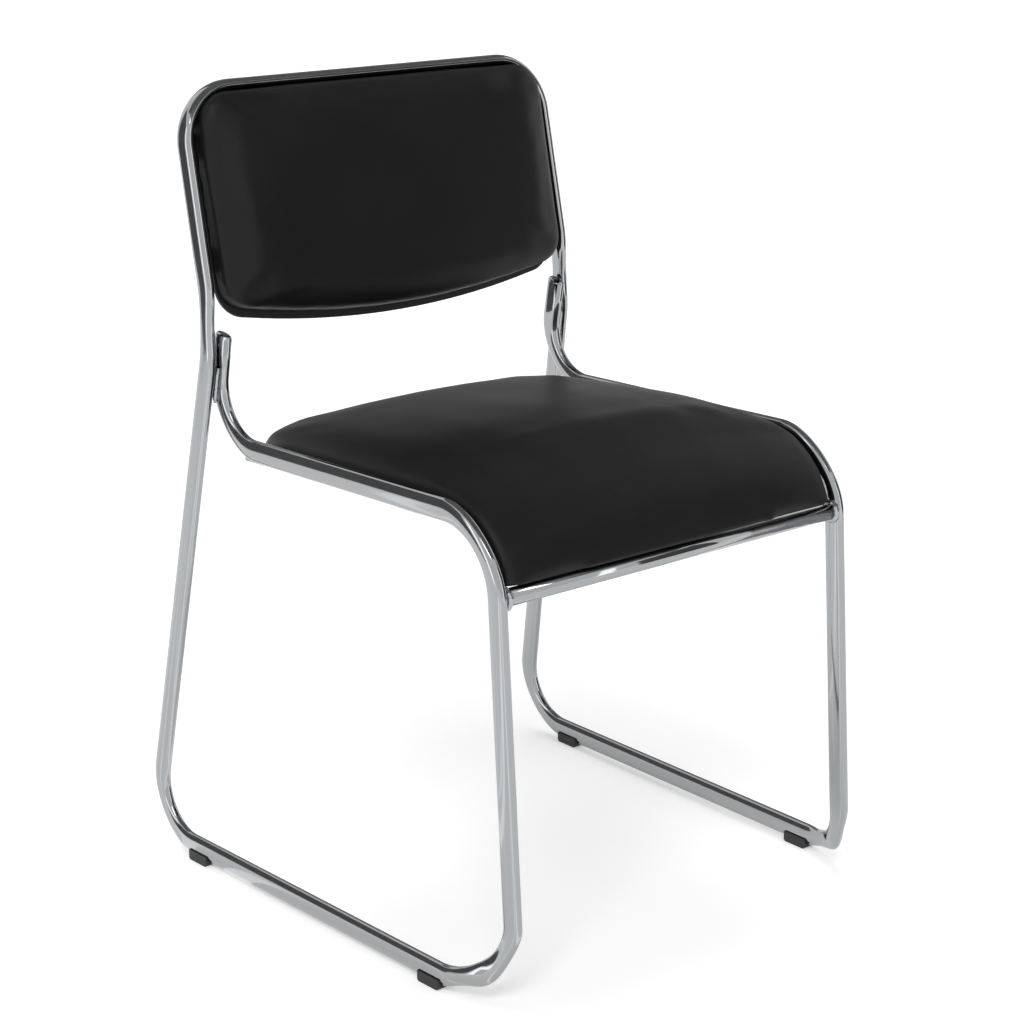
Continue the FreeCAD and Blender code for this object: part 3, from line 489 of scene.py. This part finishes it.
def blow_up(pad, held):
    """stuffs a pad by cloth pressure; no point moves further than the cap"""
    rest = [vert.co.copy() for vert in pad.data.vertices]
    cloth = pad.modifiers.new("stuffing", "CLOTH")
    cloth.settings.effector_weights.gravity = 0.0
    cloth.settings.use_pressure = True
    cloth.settings.uniform_pressure_force = STUFFING_PRESSURE
    cloth.settings.vertex_group_mass = held.name
    cloth.settings.tension_stiffness = STRETCH_STIFFNESS
    cloth.settings.compression_stiffness = STRETCH_STIFFNESS
    cloth.settings.bending_stiffness = BENDING_STIFFNESS
    cloth.collision_settings.use_collision = False
    cloth.point_cache.frame_start = 1
    cloth.point_cache.frame_end = STUFFING_FRAMES
    for step in range(1, STUFFING_FRAMES + 1):
        bpy.context.scene.frame_set(step)
    shown = pad.evaluated_get(bpy.context.evaluated_depsgraph_get()).to_mesh()
    moved = [vert.co.copy() for vert in shown.vertices]
    pad.modifiers.remove(cloth)
    bpy.context.scene.frame_set(1)
    for vert, old, new in zip(pad.data.vertices, rest, moved):
        step = new - old
        vert.co = old + step * min(1.0, MOST_SWELL / max(step.length, 1e-9))


def stuffed_pad(name, sources, voxel, pinned, smoothing, shape):
    """leathercloth over foam on a board: the joined solids are remeshed, blown up a little and eased"""
    bm = bmesh_of(*sources)
    pad = place_piece(bm, name, "black leather")
    pad.data.remesh_voxel_size = voxel
    pad.data.remesh_voxel_adaptivity = 0.0
    bpy.context.view_layer.objects.active = pad
    bpy.ops.object.voxel_remesh()
    held = pad.vertex_groups.new(name="held_by_the_board")
    fixed = [vert.index for vert in pad.data.vertices if pinned(vert.co, vert.normal)]
    held.add(fixed, 1.0, "REPLACE")
    blow_up(pad, held)
    for vert in pad.data.vertices:
        vert.co = shape(vert.co)
    bm = bmesh.new()
    bm.from_mesh(pad.data)
    bm.verts.ensure_lookup_table()
    stiff = set(fixed)
    loose = [vert for vert in bm.verts if vert.index not in stiff]
    for _ in range(smoothing):
        bmesh.ops.smooth_vert(bm, verts=loose, factor=0.5, use_axis_x=True, use_axis_y=True, use_axis_z=True)
    bm.to_mesh(pad.data)
    bm.free()
    pad.vertex_groups.clear()
    pad.data.shade_smooth()
    soft = pad.modifiers.new("soft_surface", "SUBSURF")
    soft.levels = 1
    soft.render_levels = 1
    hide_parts(*[source for source in sources if source.endswith(("foam", "cover"))])
    return pad


def under_the_seat(point, normal):
    """the underside, which the board and its lining hold flat"""
    highest = 440 * MM
    return normal.z < -0.55 and point.z < highest


def seat_relaxed(point):
    """the seat's front swell, eased down, and more so towards the sides, where the foam is thinner"""
    board_over_rail = 2 * MM
    swell_at = -150 * MM
    swell_length = 65 * MM
    half_width = 180 * MM
    along = (RAIL_REAR.y - point.y) / (RAIL_REAR.y - KNEE.y)
    above = point.z - (RAIL_REAR.z + (KNEE.z - RAIL_REAR.z) * along + board_over_rail)
    if above <= 0:
        return Vector(point)
    near = exp(-((point.y - swell_at) / swell_length) ** 2)
    ease = near * (0.12 + 0.22 * (point.x / half_width) ** 2)
    return Vector((point.x, point.y, point.z - above * min(0.4, ease)))


def back_filled(point):
    """the back pad in its own leaning frame, filled out to the tube and squarer at its front edge"""
    lean = Matrix.Rotation(-atan2(CROWN.y - KINK.y, CROWN.z - KINK.z), 4, "X")
    to_chair = Matrix.Translation((0, KINK.y, KINK.z)) @ lean
    local = to_chair.inverted() @ Vector(point)
    edge_starts = 18 * MM
    edge_depth = 14 * MM
    middle = 105 * MM
    half_height = 110 * MM
    top_gap = 7.5 * MM
    # 0 at the rear and the sides, 1 at the front face
    front = min(1.0, max(0.0, (-local.y - edge_starts) / edge_depth))
    local.x *= 1.005 - 0.018 * front
    local.z = middle + (local.z - middle) * (1.0 + 0.02 * front)
    if local.z > middle:
        local.z += top_gap * (local.z - middle) / half_height
    return to_chair @ local


def behind_the_back(point, normal):
    """the rear face, which the board holds flat"""
    return normal.y > 0.6


def pads():
    """the two padded pieces"""
    seat_parts = ["seat_foam", "seat_cover", "seat_board"]
    seat = stuffed_pad("seat_pad", seat_parts, 5 * MM, under_the_seat, 24, seat_relaxed)
    back_parts = ["back_foam", "back_cover", "back_board"]
    back = stuffed_pad("back_pad", back_parts, 4.5 * MM, behind_the_back, 8, back_filled)


# Everything on the chair

chromed_tube()
front_bar()
bar_welds()
upright_beads()
pads()
for label in ("front_seat_strap", "rear_seat_strap", "back_tabs"):
    rounded_copy(label, "plain steel", 0.5 * MM)
for label in ("seat_washers", "seat_screws", "back_screws"):
    rounded_copy(label, "plain steel", 0.25 * MM, 1)
for label in ("front_left_glide", "rear_left_glide", "front_right_glide", "rear_right_glide"):
    rounded_copy(label, "black plastic", 0.6 * MM)
rounded_copy("end_plugs", "chrome", 0.3 * MM, 1)
rounded_copy("back_rear_shell", "black plastic", 0.9 * MM, 3)
rounded_copy("seat_underside_cover", "lining", 0.2 * MM, 1)
# these stay as the solids are and only take their finish
for label, slot in (("seat_nuts", "plain steel"), ("back_nuts", "plain steel"),
                    ("seat_board", "plywood"), ("back_board", "plywood")):
    NODES[label].data.materials.clear()
    NODES[label].data.materials.append(FINISHES[slot])


# Stage, lamps and camera. None of these is part of the chair

def background_share(tree):
    """1 where the background is seen, directly or in a mirror or glass; 0 for light on things"""
    ray = add(tree, "ShaderNodeLightPath")
    share = ray.outputs["Is Camera Ray"]
    for kind in ("Is Glossy Ray", "Is Transmission Ray"):
        either = add(tree, "ShaderNodeMath", {"operation": "MAXIMUM"})
        tree.links.new(share, either.inputs[0])
        tree.links.new(ray.outputs[kind], either.inputs[1])
        share = either.outputs[0]
    return share


def stage_plane(name, half_size, move, surface, three_sided=False):
    """a flat square, or a triangle that widens from the origin towards -Y, before it is moved"""
    bm = bmesh.new()
    if three_sided:
        bmesh.ops.create_circle(bm, cap_ends=True, segments=3, radius=1.0)
        bmesh.ops.translate(bm, vec=(0, -1, 0), verts=bm.verts)
        bmesh.ops.scale(bm, vec=(half_size, half_size, half_size), verts=bm.verts)
    else:
        bmesh.ops.create_grid(bm, x_segments=1, y_segments=1, size=half_size)
    bmesh.ops.transform(bm, matrix=move, verts=bm.verts)
    mesh = bpy.data.meshes.new(name)
    bm.to_mesh(mesh)
    bm.free()
    mesh.materials.append(surface)
    plane = bpy.data.objects.new(name, mesh)
    bpy.context.scene.collection.objects.link(plane)
    return plane


def reflected_card(name, half_size, move, surface, three_sided=False):
    """a card that only mirrors see: it gives lines to the chrome and takes no light from the floor"""
    card = stage_plane(name, half_size, move, surface, three_sided)
    card.visible_camera = False
    card.visible_diffuse = False
    card.visible_shadow = False


FLOOR_LIFT = 0.32


def studio_floor():
    """matt white floor; the lift seen by the eye and by mirrors brings it near paper white, shadows kept"""
    material, tree, shader = new_material("studio_floor", {
        "Roughness": 0.9, "Specular IOR Level": 0.0, "Base Color": colour("F2F2F2")})
    glow = add(tree, "ShaderNodeEmission", {"Color": colour("FFFFFF")})
    lift = add(tree, "ShaderNodeMath", {"operation": "MULTIPLY"})
    tree.links.new(background_share(tree), lift.inputs[0])
    lift.inputs[1].default_value = FLOOR_LIFT
    tree.links.new(lift.outputs[0], glow.inputs["Strength"])
    both = add(tree, "ShaderNodeAddShader")
    tree.links.new(shader.outputs["BSDF"], both.inputs[0])
    tree.links.new(glow.outputs["Emission"], both.inputs[1])
    # clear from below, so that the chair's underside can be looked at
    side = add(tree, "ShaderNodeNewGeometry")
    clear = add(tree, "ShaderNodeBsdfTransparent")
    one_way = add(tree, "ShaderNodeMixShader", Fac=side.outputs["Backfacing"])
    tree.links.new(both.outputs["Shader"], one_way.inputs[1])
    tree.links.new(clear.outputs["BSDF"], one_way.inputs[2])
    output = [node for node in tree.nodes if node.type == "OUTPUT_MATERIAL"][0]
    tree.links.new(one_way.outputs["Shader"], output.inputs["Surface"])
    return material


def studio_card(name, tone):
    """matt grey card, which gives the chrome its darker lines and the black pads their depth"""
    return new_material(name, {"Roughness": 0.95, "Specular IOR Level": 0.0, "Base Color": colour(tone)})[0]


def lit_strip(strength):
    """a bright softbox or gleam, which draws a bright line along the chrome"""
    return new_material("lit_strip", {"Emission Color": colour("FFFFFF"), "Emission Strength": strength})[0]


def lamp(name, direction, width, power):
    """a wide soft lamp so far off that it lights the floor evenly"""
    light = bpy.data.lights.new(name, "SUN")
    light.angle = radians(width)
    light.energy = power
    lamp_object = bpy.data.objects.new(name, light)
    lamp_object.rotation_euler = Vector(direction).to_track_quat("Z", "Y").to_euler()
    bpy.context.scene.collection.objects.link(lamp_object)


# the photograph's angle, in degrees
VIEW_TURN = -40.55
VIEW_DOWN = 16.3
# how far off and how high the cards, strips and gleams are
CARD_OFF = 3.2
STRIP_OFF = 3.1
CARD_HEIGHT = 1.1
GLEAM_REACH = 1.4
GLEAM_HEIGHT = 1 * MM


def studio():
    """white surroundings, a pale floor, two soft lamps, and the cards and gleams that the chrome reflects"""
    world = bpy.data.worlds.new("studio")
    bpy.context.scene.world = world
    world.use_nodes = True
    tree = world.node_tree
    tree.nodes.clear()
    strength = add(tree, "ShaderNodeMapRange", {"To Min": 0.6, "To Max": 1.0}, Value=background_share(tree))
    sky = add(tree, "ShaderNodeBackground", {"Color": colour("FFFFFF")}, Strength=strength.outputs["Result"])
    add(tree, "ShaderNodeOutputWorld", Surface=sky.outputs["Background"])
    stage_plane("floor", 40.0, Matrix.Identity(4), studio_floor())
    upright = Matrix.Rotation(pi / 2, 4, "X")
    narrow = Matrix.Diagonal((0.17, 1, 1, 1))
    # left and right of the camera, turned in degrees from -Y: the pads' fronts and both sides of the tube
    # reflect them
    side_cards = {"right_card": (38, studio_card("dim_card", "6A6A6A")),
                  "left_card": (-136, studio_card("mid_card", "7A7A7A"))}
    for name, (turn, card) in side_cards.items():
        stand = Matrix.Rotation(radians(turn), 4, "Z") @ Matrix.Translation((0, -CARD_OFF, CARD_HEIGHT))
        reflected_card(name, 1.5, stand @ upright, card)
    for name, turn in (("right_strip", -6), ("left_strip", -101)):
        stand = Matrix.Rotation(radians(turn), 4, "Z") @ Matrix.Translation((0, -STRIP_OFF, CARD_HEIGHT))
        reflected_card(name, 1.4, stand @ upright @ narrow, lit_strip(2.0))
    # wedges of light on the floor, which run out from each leg's foot and draw its two bright lines
    feet = {"left_front": (-0.211, -0.24), "left_rear": (-0.24, 0.23),
            "right_front": (0.211, -0.24), "right_rear": (0.24, 0.23)}
    gleam = lit_strip(0.9)
    for foot, (x, y) in feet.items():
        on_floor = Matrix.Translation((x, y, GLEAM_HEIGHT))
        for line, turn, spread in (("wide_line", -78, 9), ("thin_line", -134, 3)):
            wedge = Matrix.Diagonal((tan(radians(spread / 2)), 1, 1, 1))
            move = on_floor @ Matrix.Rotation(radians(turn), 4, "Z") @ wedge
            reflected_card(foot + "_" + line, GLEAM_REACH, move, gleam, three_sided=True)
    # overhead and high behind the chair: the seat's top and the upper faces of the tube reflect them
    ceiling = studio_card("grey_card", "808080")
    reflected_card("overhead_card", 2.4, Matrix.Translation((0.3, -0.1, 3.0)), ceiling)
    behind = Matrix.Rotation(radians(VIEW_TURN), 4, "Z") @ Matrix.Translation((0, 3.6, 2.9))
    reflected_card("rear_card", 1.9, behind @ upright, ceiling)
    lamp("key", (-0.6, -0.5, 1.0), 24, 0.9)
    lamp("top", (0.15, 0.35, 1.0), 30, 0.6)


def camera():
    """the photograph's own viewpoint, solved from the runners, legs and hoop"""
    lens = bpy.data.cameras.new("camera")
    lens.sensor_width = 36.0
    lens.lens = 88.38
    eye = bpy.data.objects.new("camera", lens)
    eye.location = (-1.5237, -1.7854, 1.0454)
    eye.rotation_euler = (radians(90 - VIEW_DOWN), 0, radians(VIEW_TURN))
    bpy.context.scene.collection.objects.link(eye)
    bpy.context.scene.camera = eye


studio()
camera()
bpy.context.scene.view_settings.view_transform = "Standard"
